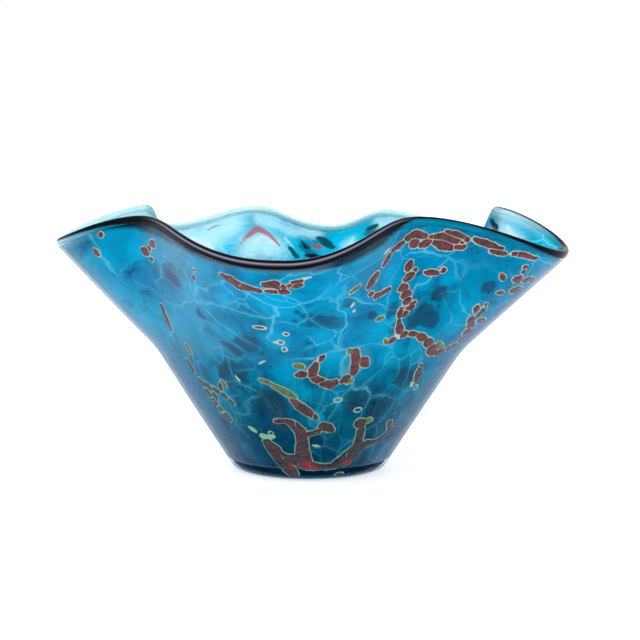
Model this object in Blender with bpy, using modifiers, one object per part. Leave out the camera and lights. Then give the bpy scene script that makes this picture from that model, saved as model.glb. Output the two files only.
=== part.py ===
"""Blown art glass bowl with a fluted lip, built up from its layers of glass.

The bowl stands on the XY plane with +Z up and its foot centred on the origin.
Every layer is first turned as a round bowl, the way it leaves the blowpipe.
The wall is then fluted: each azimuth tilts the wall in or out by its own lift,
so a raised lobe stands up and a lowered one flares out at the same wall length.
Maroon frit chips lie in pockets on the inner side of the clear casing.
"""

import math
import random

import bmesh
import bpy
import numpy as np

# Overall form, in metres and degrees.
FOOT_RADIUS = 0.036         # where the line of the outer wall meets the table
FOOT_HEIGHT = 0.006
FOOT_EDGE_ROUND = 0.006
WALL_LENGTH = 0.140         # along the outer wall, from the table to the lip
LOW_SLOPE = 57.0            # wall angle above the table in the lower half
HIGH_SLOPE = 43.5           # the same in the flared upper half
BEND_START = 0.44           # fractions of the wall length
BEND_END = 0.56

# The fluting. A lift of 1 tilts the wall at the lip by FLUTE_SWING.
FLUTE_START = 0.10          # fraction of the wall length
FLUTE_SWING = 40.0
LOBE_SHARPNESS = 1.15
LIP_LOBES = [               # (azimuth in degrees from +X, lift), high and low by turns
    (-143, 0.80), (-96, 0.12),
    (-58, 0.90), (-13, -0.02),
    (22, 0.60), (45, -0.08),
    (69, 0.27), (85, -0.08),
    (105, 0.35), (125, 0.02),
    (144, 0.55), (178, 0.08),
]

# The layers.
CASING_AT_FOOT = 0.0034     # clear outer layer
CASING_AT_LIP = 0.0021
GATHER_AT_FOOT = 0.0046     # turquoise inner layer
GATHER_AT_LIP = 0.0018
FLOOR_THICKNESS = 0.006
FLOOR_ROUND = 0.012
LIP_HEIGHT = 0.0032
GAP = 0.0003                # left between neighbouring pieces

# The frit chips. Blowing stretches the frit with the wall, so a chip's place and size
# are given as they are on a wall of CHIP_WALL and follow WALL_LENGTH from there.
CHIP_WALL = 0.140
CHIP_DEPTH = 0.40           # fraction of the casing's thickness
CHIP_BED_GAP = 0.0003       # extra room between a chip and the turquoise layer
CHIP_TAPER = 0.72           # outer face against the face toward the turquoise layer
CHIP_SIDES = 8
CHIP_ROUGHNESS = 0.13

# Mesh fineness.
AROUND = 84
WALL_ROWS = 12
LIP_STEPS = 6
ROUND_STEPS = 4
LINE_STEPS = 210

# Each chip: azimuth in degrees, place along the wall in mm, length, width in mm
# and the tilt of its length above the horizontal.
LIP_ROW = [
    (-57.5, 131.6, 6.2, 2.4, 8), (-58.6, 127.6, 3.6, 2.4, 20), (-53.6, 127.8, 4.6, 2.0, 12),
    (-49.6, 132.0, 6.6, 2.6, 0), (-48.2, 128.0, 7.2, 2.4, -4), (-44.2, 131.2, 3.6, 2.2, -15),
    (-38.5, 132.4, 8.0, 2.2, -8), (-35.2, 128.8, 5.0, 2.0, -8), (-30.0, 132.6, 7.0, 1.8, -6),
]
RIGHT_TIP = [
    (-26.4, 121.0, 4.4, 3.2, 0), (-22.0, 120.6, 3.6, 2.8, 10), (-23.6, 115.2, 5.2, 3.2, 0),
]
RIGHT_CHAIN = [
    (-31.0, 98.0, 4.6, 2.2, 75), (-28.6, 92.0, 3.2, 3.0, 0), (-24.6, 88.4, 4.0, 2.6, 30),
]
MIDDLE_CHAIN = [
    (-58.4, 117.6, 5.2, 3.2, 80), (-57.4, 111.6, 4.6, 2.6, 55), (-59.4, 106.4, 3.8, 2.8, 10),
    (-57.6, 102.0, 4.2, 2.8, -10), (-58.6, 95.2, 4.4, 2.6, 80), (-56.8, 88.4, 4.6, 2.6, 75),
    (-54.0, 83.0, 4.8, 2.6, -15),
]
OPEN_RING = [
    (-71.9, 115.5, 6.2, 3.2, 65), (-67.4, 106.4, 6.2, 2.0, 20),
]
FRONT_LIP = [
    (-107.6, 125.2, 5.2, 3.4, -25), (-103.0, 122.2, 5.2, 1.8, -10), (-98.2, 126.6, 5.4, 2.8, 0),
]
LEFT_LOBE = [
    (-146.0, 123.2, 4.6, 3.0, -25), (-141.2, 127.4, 4.2, 2.8, 20),
]
CENTRE_CURVE = [
    (-92.2, 65.8, 5.0, 2.4, 5), (-87.6, 68.6, 4.0, 2.6, 70), (-83.0, 60.6, 5.4, 2.4, -12),
    (-76.4, 62.0, 5.0, 2.0, 20), (-72.0, 71.0, 7.0, 2.8, 82),
]
SLANTED_TRAIL = [
    (-95.8, 47.8, 6.2, 2.4, -35), (-90.6, 41.4, 6.0, 2.4, -32), (-82.0, 34.2, 4.2, 3.8, 0),
]
FOOT_PATCH = [
    (-95.4, 27.4, 6.6, 3.6, -60), (-113.0, 20.6, 6.2, 4.0, -40), (-105.0, 13.4, 6.2, 4.2, -40),
    (-88.6, 16.4, 5.4, 4.4, 10), (-64.4, 34.4, 4.0, 4.0, 0), (-60.4, 26.6, 5.0, 3.0, 85),
    (-64.6, 17.6, 6.4, 4.0, 30),
]
# On the far side, each trail: first azimuth, place along the wall, chip count,
# and the step in degrees and mm from one chip to the next.
FAR_TRAILS = [
    (100.0, 122.0, 3, 5.0, -6.0),
    (30.0, 118.0, 2, -5.0, -7.0),
    (156.0, 96.0, 2, -6.0, -9.0),
    (62.0, 78.0, 2, 7.0, -8.0),
]
FAR_CHIP_LENGTH = 5.4
FAR_CHIP_WIDTH = 2.8


def clear_scene():
    for item in list(bpy.data.objects):
        bpy.data.objects.remove(item, do_unlink=True)


def smooth(value):
    """An even S-curve from 0 to 1."""
    value = min(1.0, max(0.0, value))
    return value * value * (3.0 - 2.0 * value)


def lobe_lift(azimuth):
    """How far the lip is lifted at an azimuth in degrees."""
    lobes = sorted((place % 360.0, lift) for place, lift in LIP_LOBES)
    lobes.append((lobes[0][0] + 360.0, lobes[0][1]))
    azimuth = azimuth % 360.0
    if azimuth < lobes[0][0]:
        azimuth += 360.0
    for (start, lift), (end, next_lift) in zip(lobes, lobes[1:]):
        if start <= azimuth <= end:
            break
    rise = 0.5 - 0.5 * math.cos(math.pi * (azimuth - start) / (end - start))
    if next_lift < lift:
        rise = 1.0 - rise
    low = min(lift, next_lift)
    high = max(lift, next_lift)
    return low + (high - low) * rise ** LOBE_SHARPNESS


def wall_slope(along, lift):
    """The wall's angle above the table at a distance along it."""
    part = along / WALL_LENGTH
    bend = smooth((part - BEND_START) / (BEND_END - BEND_START))
    swing = smooth((part - FLUTE_START) / (1.0 - FLUTE_START))
    slope = LOW_SLOPE + (HIGH_SLOPE - LOW_SLOPE) * bend + FLUTE_SWING * lift * swing
    return math.radians(slope)


class WallLine:
    """The outer wall's line at one lift, stepped finely from the table past the lip."""

    def __init__(self, lift):
        end = WALL_LENGTH * 1.05
        step = end / LINE_STEPS
        self.along = np.linspace(0.0, end, LINE_STEPS + 1)
        self.slope = np.array([wall_slope(value, lift) for value in self.along])
        run = np.cos(self.slope)
        climb = np.sin(self.slope)
        self.radius = FOOT_RADIUS + np.concatenate([[0.0], np.cumsum(run[1:] + run[:-1]) * step / 2])
        self.height = np.concatenate([[0.0], np.cumsum(climb[1:] + climb[:-1]) * step / 2])

    def point(self, along, depth):
        """Radius and height at a distance along the wall and a depth into the glass."""
        slope = np.interp(along, self.along, self.slope)
        radius = np.interp(along, self.along, self.radius) - depth * math.sin(slope)
        height = np.interp(along, self.along, self.height) + depth * math.cos(slope)
        return float(radius), float(height)

    def locate(self, radius, height):
        """Distance along the wall and depth into the glass of a point near it."""
        reach = np.hypot(self.radius - radius, self.height - height)
        nearest = int(np.argmin(reach))
        slope = self.slope[nearest]
        across = radius - self.radius[nearest]
        up = height - self.height[nearest]
        along = self.along[nearest] + across * math.cos(slope) + up * math.sin(slope)
        depth = up * math.cos(slope) - across * math.sin(slope)
        return along, depth


ROUND_WALL = WallLine(0.0)
FLUTED_WALLS = {}


def fluted_wall(azimuth):
    """The wall line at an azimuth in degrees, kept once it has been worked out."""
    key = round(azimuth % 360.0, 3)
    if key not in FLUTED_WALLS:
        FLUTED_WALLS[key] = WallLine(lobe_lift(key))
    return FLUTED_WALLS[key]


def flute(mesh):
    """Moves a round bowl's points to where the fluting puts them."""
    for vertex in mesh.vertices:
        x, y, z = vertex.co
        radius = math.hypot(x, y)
        along, depth = ROUND_WALL.locate(radius, z)
        if along <= FLUTE_START * WALL_LENGTH:
            continue
        azimuth = math.degrees(math.atan2(y, x))
        before = ROUND_WALL.point(along, depth)
        after = fluted_wall(azimuth).point(along, depth)
        new_radius = radius + after[0] - before[0]
        vertex.co = (x * new_radius / radius, y * new_radius / radius, z + after[1] - before[1])


def casing_depth(along):
    """Thickness of the clear casing at a distance along the wall."""
    return CASING_AT_FOOT + (CASING_AT_LIP - CASING_AT_FOOT) * along / WALL_LENGTH


def gather_top(along):
    """Depth of the turquoise layer's outer face."""
    return casing_depth(along) + GAP


def inside_depth(along):
    """Depth of the bowl's inner face."""
    gather = GATHER_AT_FOOT + (GATHER_AT_LIP - GATHER_AT_FOOT) * along / WALL_LENGTH
    return gather_top(along) + gather


def outside_depth(along):
    return 0.0


def start_along(depth_of, height):
    """Where a face at the given depth passes a height near the foot."""
    low = 0.0
    high = WALL_LENGTH / 2
    for _ in range(40):
        middle = (low + high) / 2
        if ROUND_WALL.point(middle, depth_of(middle))[1] < height:
            low = middle
        else:
            high = middle
    return (low + high) / 2


def wall_face(depth_of, start, end):
    """Points of one face of the wall, from low to high."""
    places = [start + (end - start) * row / WALL_ROWS for row in range(WALL_ROWS + 1)]
    return [ROUND_WALL.point(place, depth_of(place)) for place in places]


def rounded_corner(before, corner, after, radius):
    """Points of the arc that rounds a corner between two straight lines."""
    back = np.subtract(before, corner)
    ahead = np.subtract(after, corner)
    back = back / np.linalg.norm(back)
    ahead = ahead / np.linalg.norm(ahead)
    half = math.acos(float(np.clip(np.dot(back, ahead), -1.0, 1.0))) / 2
    middle = back + ahead
    centre = np.array(corner) + middle / np.linalg.norm(middle) * radius / math.sin(half)
    start = np.array(corner) + back * radius / math.tan(half) - centre
    end = np.array(corner) + ahead * radius / math.tan(half) - centre
    turn = math.pi - 2 * half
    points = []
    for step in range(ROUND_STEPS + 1):
        share = step / ROUND_STEPS
        arm = start * math.sin((1 - share) * turn) + end * math.sin(share * turn)
        points.append(tuple(float(value) for value in centre + arm / math.sin(turn)))
    return points


def collection(name):
    found = bpy.data.collections.get(name)
    if found is None:
        found = bpy.data.collections.new(name)
        bpy.context.scene.collection.children.link(found)
    return found


def glass(name, colour, roughness, clear):
    """A glass material; clear is how much light passes through it."""
    material = bpy.data.materials.new(name)
    material.use_nodes = True
    shader = material.node_tree.nodes["Principled BSDF"]
    shader.inputs["Base Color"].default_value = (*colour, 1.0)
    shader.inputs["Roughness"].default_value = roughness
    shader.inputs["IOR"].default_value = 1.5
    shader.inputs["Transmission Weight"].default_value = clear
    material.diffuse_color = (*colour, 1.0)
    return material


def add_piece(name, mesh, material):
    item = bpy.data.objects.new(name, mesh)
    mesh.materials.clear()
    mesh.materials.append(material)
    collection("art_glass_bowl").objects.link(item)
    return item


def turn(name, profile, closed):
    """A mesh turned round the Z axis from a profile of (radius, height) points."""
    outline = bpy.data.meshes.new(name + "_profile")
    edges = [(index, index + 1) for index in range(len(profile) - 1)]
    if closed:
        edges.append((len(profile) - 1, 0))
    outline.from_pydata([(radius, 0.0, height) for radius, height in profile], edges, [])
    holder = bpy.data.objects.new(name + "_profile", outline)
    bpy.context.scene.collection.objects.link(holder)
    screw = holder.modifiers.new("turn", "SCREW")
    screw.axis = "Z"
    screw.angle = math.tau
    screw.steps = AROUND
    screw.render_steps = AROUND
    screw.use_merge_vertices = True
    screw.merge_threshold = 0.00001
    screw.use_normal_calculate = True
    view = bpy.context.evaluated_depsgraph_get()
    mesh = bpy.data.meshes.new_from_object(holder.evaluated_get(view))
    mesh.name = name
    bpy.data.objects.remove(holder, do_unlink=True)
    split_quads(mesh)
    face_outward(mesh)
    return mesh


def split_quads(mesh):
    """Splits a round mesh's four-sided faces, all along the same slant.

    Neighbouring layers then stay parallel once they are fluted.
    """
    shape = bmesh.new()
    shape.from_mesh(mesh)
    for face in list(shape.faces):
        if len(face.verts) != 4:
            continue
        middle = face.calc_center_median()
        facing = math.atan2(middle.y, middle.x)
        ranks = []
        for vertex in face.verts:
            ahead = vertex.co.y * math.cos(facing) - vertex.co.x * math.sin(facing)
            ranks.append((round(vertex.co.z, 6), round(ahead, 6)))
        start = ranks.index(min(ranks))
        corners = list(face.verts)
        bmesh.utils.face_split(face, corners[start], corners[(start + 2) % 4])
    shape.to_mesh(mesh)
    shape.free()


def face_outward(mesh):
    """Turns every face of a closed mesh to look outward."""
    shape = bmesh.new()
    shape.from_mesh(mesh)
    bmesh.ops.recalc_face_normals(shape, faces=shape.faces)
    if shape.calc_volume(signed=True) < 0:
        bmesh.ops.reverse_faces(shape, faces=shape.faces)
    shape.to_mesh(mesh)
    shape.free()


def shell_top():
    """How far along the wall both shells end, under the lip."""
    return WALL_LENGTH - LIP_HEIGHT - GAP


def build_foot():
    """The thick round foot, with a flat resting face and a rounded edge."""
    rim = ROUND_WALL.point(start_along(outside_depth, FOOT_HEIGHT), 0.0)
    corner = (FOOT_RADIUS, 0.0)
    edge = rounded_corner(rim, corner, (0.0, 0.0), FOOT_EDGE_ROUND)
    profile = [(0.0, FOOT_HEIGHT), rim] + edge + [(0.0, 0.0)]
    material = glass("foot_glass", (0.10, 0.42, 0.52), 0.05, 0.9)
    return add_piece("foot", turn("foot", profile, False), material)


def build_gather():
    """The turquoise inner layer, a cup with a thick floor."""
    base = FOOT_HEIGHT + GAP
    floor = base + FLOOR_THICKNESS
    outer = wall_face(gather_top, start_along(gather_top, base), shell_top())
    inner_start = start_along(inside_depth, floor)
    corner = ROUND_WALL.point(inner_start, inside_depth(inner_start))
    clear_of_round = inner_start + FLOOR_ROUND * math.tan(math.radians(LOW_SLOPE) / 2)
    inner = wall_face(inside_depth, clear_of_round + FLOOR_ROUND / 4, shell_top())
    bend = rounded_corner((0.0, floor), corner, inner[0], FLOOR_ROUND)
    profile = [(0.0, floor)] + bend + inner + outer[::-1] + [(0.0, base)]
    mesh = turn("inner_gather", profile, False)
    flute(mesh)
    material = glass("turquoise_glass", (0.0, 0.40, 0.56), 0.08, 0.8)
    return add_piece("inner_gather", mesh, material)


def build_casing(pockets):
    """The clear outer layer, pocketed on its inner side for the chips."""
    base = FOOT_HEIGHT + GAP
    outer = wall_face(outside_depth, start_along(outside_depth, base), shell_top())
    inner = wall_face(casing_depth, start_along(casing_depth, base), shell_top())
    mesh = turn("clear_casing", inner + outer[::-1], True)
    flute(mesh)
    material = glass("casing_glass", (0.80, 0.93, 0.96), 0.03, 1.0)
    item = add_piece("clear_casing", mesh, material)
    cut = item.modifiers.new("pockets", "BOOLEAN")
    cut.operation = "DIFFERENCE"
    cut.solver = "EXACT"
    cut.object = pockets
    view = bpy.context.evaluated_depsgraph_get()
    item.data = bpy.data.meshes.new_from_object(item.evaluated_get(view))
    item.modifiers.remove(cut)
    drop_flaps(item.data)
    return item


def drop_flaps(mesh):
    """Splits a cut mesh into triangles and drops any that lie back to back.

    Where a pocket's corner grazes an edge of the wall, the cut leaves two equal
    triangles with no glass between them.
    """
    shape = bmesh.new()
    shape.from_mesh(mesh)
    bmesh.ops.triangulate(shape, faces=shape.faces)
    shape.verts.index_update()
    found = {}
    for face in shape.faces:
        corners = frozenset(vertex.index for vertex in face.verts)
        found.setdefault(corners, []).append(face)
    doubled = [face for group in found.values() if len(group) > 1 for face in group]
    bmesh.ops.delete(shape, geom=doubled, context="FACES")
    shape.to_mesh(mesh)
    shape.free()


def build_lip():
    """The fire-polished lip, a half-round bead over the ends of both layers."""
    start = WALL_LENGTH - LIP_HEIGHT
    thick = inside_depth(start)
    profile = []
    for step in range(LIP_STEPS + 1):
        angle = math.pi * step / LIP_STEPS
        depth = thick / 2 + thick / 2 * math.cos(angle)
        profile.append(ROUND_WALL.point(start + LIP_HEIGHT * math.sin(angle), depth))
    mesh = turn("lip", profile, True)
    flute(mesh)
    return add_piece("lip", mesh, glass("lip_glass", (0.01, 0.05, 0.09), 0.05, 0.3))


def chip_outline(rng):
    """Uneven distances for the corners of one chip."""
    return [1.0 + CHIP_ROUGHNESS * rng.uniform(-1.0, 1.0) for _ in range(CHIP_SIDES)]


def add_chip_shape(shape, chip, outline, grow, deeper):
    """Adds one tapered chip to a bmesh, lying along the fluted wall.

    grow widens it all round and outward; deeper carries its inner face further in.
    """
    azimuth, place, length, width, tilt = chip
    made = bmesh.ops.create_cone(
        shape, cap_ends=True, cap_tris=False, segments=CHIP_SIDES, radius1=1.0, radius2=0.5, depth=1.0
    )
    stretch = WALL_LENGTH / CHIP_WALL
    along = place / 1000.0 * stretch
    thick = CHIP_DEPTH * casing_depth(along)
    bed = casing_depth(along) - CHIP_BED_GAP
    top = bed - thick
    bed_size = 1.0 + (1.0 - CHIP_TAPER) * deeper / thick
    lean = math.radians(tilt)
    for vertex in made["verts"]:
        turned = math.atan2(vertex.co.y, vertex.co.x)
        corner = outline[round(turned / math.tau * CHIP_SIDES) % CHIP_SIDES]
        outer = vertex.co.z > 0
        size = CHIP_TAPER if outer else bed_size
        half_length = length / 2000.0 * stretch * corner * size + grow
        half_width = width / 2000.0 * stretch * corner * size + grow
        across = half_length * math.cos(turned)
        up = half_width * math.sin(turned)
        right = across * math.cos(lean) - up * math.sin(lean)
        rise = across * math.sin(lean) + up * math.cos(lean)
        depth = top - grow if outer else bed + deeper
        middle = fluted_wall(azimuth).point(along, 0.0)[0]
        facing = azimuth + math.degrees(right / middle)
        radius, height = fluted_wall(facing).point(along + rise, depth)
        facing = math.radians(facing)
        vertex.co = (radius * math.cos(facing), radius * math.sin(facing), height)


def all_chips():
    """Every chip, from the listed groups and then the trails of the far side."""
    chips = LIP_ROW + RIGHT_TIP + RIGHT_CHAIN + MIDDLE_CHAIN + OPEN_RING + FRONT_LIP
    chips = chips + LEFT_LOBE + CENTRE_CURVE + SLANTED_TRAIL + FOOT_PATCH
    for azimuth, place, count, turn_step, climb_step in FAR_TRAILS:
        for index in range(count):
            tilt = 35.0 - 50.0 * (index % 2)
            chips.append((
                azimuth + turn_step * index, place + climb_step * index,
                FAR_CHIP_LENGTH, FAR_CHIP_WIDTH, tilt,
            ))
    return chips


def build_chips():
    """One piece for each frit chip, and one cutter with all their pockets."""
    material = glass("maroon_frit", (0.16, 0.035, 0.05), 0.25, 0.1)
    rng = random.Random(7)
    pockets = bmesh.new()
    for number, chip in enumerate(all_chips(), start=1):
        outline = chip_outline(rng)
        shape = bmesh.new()
        add_chip_shape(shape, chip, outline, 0.0, 0.0)
        name = f"frit_chip_{number:02d}"
        mesh = bpy.data.meshes.new(name)
        shape.to_mesh(mesh)
        shape.free()
        face_outward(mesh)
        add_piece(name, mesh, material)
        add_chip_shape(pockets, chip, outline, GAP, 4 * CHIP_BED_GAP)
    mesh = bpy.data.meshes.new("chip_pockets")
    pockets.to_mesh(mesh)
    pockets.free()
    face_outward(mesh)
    cutter = bpy.data.objects.new("chip_pockets", mesh)
    collection("cutters").objects.link(cutter)
    cutter.hide_render = True
    cutter.display_type = "WIRE"
    return cutter


def main():
    clear_scene()
    build_foot()
    build_gather()
    pockets = build_chips()
    build_casing(pockets)
    build_lip()


main()
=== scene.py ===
"""Looks for the fluted art glass bowl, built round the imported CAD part."""

import math

import bmesh
import bpy
import numpy as np
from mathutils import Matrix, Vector, noise


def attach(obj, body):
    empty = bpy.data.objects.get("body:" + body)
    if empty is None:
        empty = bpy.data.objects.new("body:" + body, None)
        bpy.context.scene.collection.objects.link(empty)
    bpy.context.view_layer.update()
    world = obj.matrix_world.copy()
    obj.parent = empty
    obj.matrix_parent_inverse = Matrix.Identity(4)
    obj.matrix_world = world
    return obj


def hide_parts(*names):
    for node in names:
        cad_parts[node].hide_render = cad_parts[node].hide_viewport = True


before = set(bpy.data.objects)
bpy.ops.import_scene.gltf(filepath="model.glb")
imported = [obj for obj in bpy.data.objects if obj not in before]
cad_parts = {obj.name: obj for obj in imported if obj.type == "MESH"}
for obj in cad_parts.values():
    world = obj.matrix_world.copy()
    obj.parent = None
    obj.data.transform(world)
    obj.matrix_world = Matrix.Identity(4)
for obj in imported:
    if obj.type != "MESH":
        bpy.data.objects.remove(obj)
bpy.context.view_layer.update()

# The bowl's form, in metres and degrees, as in the CAD part.
FOOT_RADIUS = 0.036
FOOT_HEIGHT = 0.006
FOOT_EDGE_ROUND = 0.006
WALL_LENGTH = 0.140
LOW_SLOPE = 57.0
HIGH_SLOPE = 43.5
BEND_START = 0.44
BEND_END = 0.56
FLUTE_START = 0.10
FLUTE_SWING = 40.0
LOBE_SHARPNESS = 1.15
LIP_LOBES = [
    (-143, 0.80), (-96, 0.12),
    (-58, 0.90), (-13, -0.02),
    (22, 0.60), (45, -0.08),
    (69, 0.27), (85, -0.08),
    (105, 0.35), (125, 0.02),
    (144, 0.55), (178, 0.08),
]
CASING_AT_FOOT = 0.0034
CASING_AT_LIP = 0.0021
GATHER_AT_FOOT = 0.0046
GATHER_AT_LIP = 0.0018
FLOOR_THICKNESS = 0.006
FLOOR_ROUND = 0.012
LIP_HEIGHT = 0.0032
GAP = 0.0003
# Glass bends light, so the colour is seen almost at the bowl's edge. The pieces shown
# here don't bend it, so their colour layer starts higher in the wall than the CAD one.
COLOUR_DEPTH = 0.0011
SEAM = 0.00003              # left between neighbouring shown pieces

AROUND = 360
AZIMUTHS = np.arange(AROUND) * 360.0 / AROUND
LINE_STEPS = 420
WALL_ROWS = 120


def smooth(value):
    """An even S-curve from 0 to 1."""
    value = np.clip(value, 0.0, 1.0)
    return value * value * (3.0 - 2.0 * value)


def facing(azimuth, middle, low, width):
    """1 towards one azimuth, falling to 0 as the cosine of the angle from it drops to low."""
    return smooth((np.cos(np.radians(azimuth - middle)) - low) / width)


def read_table(table, azimuth):
    """The value at an azimuth, from a list of (azimuth, value) pairs."""
    places, values = zip(*table)
    return np.interp(azimuth, places, values)


def lobe_lift(azimuth):
    """The lip's lift at azimuths in degrees."""
    lobes = sorted((place % 360.0, lift) for place, lift in LIP_LOBES)
    places = np.array([lobes[-1][0] - 360.0] + [place for place, _ in lobes] + [lobes[0][0] + 360.0])
    lifts = np.array([lobes[-1][1]] + [lift for _, lift in lobes] + [lobes[0][1]])
    azimuth = np.asarray(azimuth, float) % 360.0
    index = np.clip(np.searchsorted(places, azimuth, side="right") - 1, 0, len(places) - 2)
    share = (azimuth - places[index]) / (places[index + 1] - places[index])
    rise = 0.5 - 0.5 * np.cos(math.pi * share)
    rise = np.where(lifts[index + 1] < lifts[index], 1.0 - rise, rise)
    low = np.minimum(lifts[index], lifts[index + 1])
    high = np.maximum(lifts[index], lifts[index + 1])
    return low + (high - low) * rise ** LOBE_SHARPNESS


class Wall:
    """The fluted outer wall, kept as a table over azimuth and distance along it."""

    def __init__(self):
        self.along = np.linspace(0.0, WALL_LENGTH * 1.05, LINE_STEPS + 1)
        step = self.along[1]
        part = self.along / WALL_LENGTH
        bend = smooth((part - BEND_START) / (BEND_END - BEND_START))
        swing = smooth((part - FLUTE_START) / (1.0 - FLUTE_START))
        lift = lobe_lift(AZIMUTHS)
        slope = LOW_SLOPE + (HIGH_SLOPE - LOW_SLOPE) * bend[None, :]
        self.slope = np.radians(slope + FLUTE_SWING * lift[:, None] * swing[None, :])
        run = np.cos(self.slope)
        climb = np.sin(self.slope)
        start = np.zeros((AROUND, 1))
        out = np.cumsum(run[:, 1:] + run[:, :-1], 1) * step / 2
        self.radius = FOOT_RADIUS + np.hstack([start, out])
        self.height = np.hstack([start, np.cumsum(climb[:, 1:] + climb[:, :-1], 1) * step / 2])

    def look_up(self, table, azimuth, along):
        """A table's value at azimuths and distances along the wall."""
        column = (np.asarray(azimuth, float) % 360.0) * AROUND / 360.0
        row = np.clip(np.asarray(along, float) / self.along[1], 0, LINE_STEPS - 1e-6)
        left = np.floor(column).astype(int) % AROUND
        right = (left + 1) % AROUND
        low = np.floor(row).astype(int)
        side = column - np.floor(column)
        up = row - low
        lower = table[left, low] * (1 - side) + table[right, low] * side
        upper = table[left, low + 1] * (1 - side) + table[right, low + 1] * side
        return lower * (1 - up) + upper * up

    def point(self, azimuth, along, depth):
        """Points at azimuths, distances along the wall and depths into the glass."""
        slope = self.look_up(self.slope, azimuth, along)
        radius = self.look_up(self.radius, azimuth, along) - depth * np.sin(slope)
        height = self.look_up(self.height, azimuth, along) + depth * np.cos(slope)
        angle = np.radians(azimuth)
        return np.stack([radius * np.cos(angle), radius * np.sin(angle), height], -1)


WALL = Wall()


def inside_depth(along):
    """Depth of the bowl's inner face, as in the CAD part."""
    casing = CASING_AT_FOOT + (CASING_AT_LIP - CASING_AT_FOOT) * along / WALL_LENGTH
    gather = GATHER_AT_FOOT + (GATHER_AT_LIP - GATHER_AT_FOOT) * along / WALL_LENGTH
    return casing + GAP + gather


def even(depth):
    """A depth that stays the same all the way along the wall."""
    return lambda along: depth + 0.0 * along


def start_along(depth_of, height):
    """How far along the wall a face at this depth reaches this height."""
    places = np.linspace(0.0, WALL_LENGTH / 2, 4000)
    slope = math.radians(LOW_SLOPE)
    heights = places * math.sin(slope) + depth_of(places) * math.cos(slope)
    return float(np.interp(height, heights, places))


def wall_rings(depth_of, start, end, count):
    """Rings of points round one face of the wall, from low to high."""
    rings = []
    for along in np.linspace(start, end, count):
        rings.append(WALL.point(AZIMUTHS, np.full(AROUND, along), depth_of(along)))
    return rings


def round_rings(profile):
    """Rings for the plain round parts, from (radius, height) points."""
    angles = np.arange(AROUND) * math.tau / AROUND
    rings = []
    for radius, height in profile:
        level = np.full(AROUND, height)
        rings.append(np.stack([radius * np.cos(angles), radius * np.sin(angles), level], -1))
    return rings


def add_object(name, data):
    item = bpy.data.objects.new(name, data)
    bpy.context.scene.collection.objects.link(item)
    return item


def ring_mesh(name, rings, closed, caps):
    """A mesh through rings of points; caps closes the first and last ring to a centre point."""
    count = len(rings)
    points = np.concatenate(rings)
    faces = []
    last = count if closed else count - 1
    for row in range(last):
        below = row * AROUND
        above = ((row + 1) % count) * AROUND
        for side in range(AROUND):
            after = (side + 1) % AROUND
            faces.append((below + side, below + after, above + after, above + side))
    points = [tuple(point) for point in points]
    if caps:
        for ring_index, flip in ((0, True), (count - 1, False)):
            ring = rings[ring_index]
            centre = len(points)
            points.append((0.0, 0.0, float(ring[:, 2].mean())))
            for side in range(AROUND):
                first = ring_index * AROUND + side
                second = ring_index * AROUND + (side + 1) % AROUND
                faces.append((centre, second, first) if flip else (centre, first, second))
    mesh = bpy.data.meshes.new(name)
    mesh.from_pydata(points, [], faces)
    mesh.shade_smooth()
    item = add_object(name, mesh)
    face_outward(item)
    return item


def face_outward(item):
    shape = bmesh.new()
    shape.from_mesh(item.data)
    bmesh.ops.recalc_face_normals(shape, faces=shape.faces)
    if shape.calc_volume(signed=True) < 0:
        bmesh.ops.reverse_faces(shape, faces=shape.faces)
    shape.to_mesh(item.data)
    shape.free()


def arc(centre, radius, start, end, steps):
    """(radius, height) points on an arc, between two angles in degrees."""
    points = []
    for step in range(steps + 1):
        angle = math.radians(start + (end - start) * step / steps)
        points.append((centre[0] + radius * math.cos(angle), centre[1] + radius * math.sin(angle)))
    return points


# ---------------------------------------------------------------- materials

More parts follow.
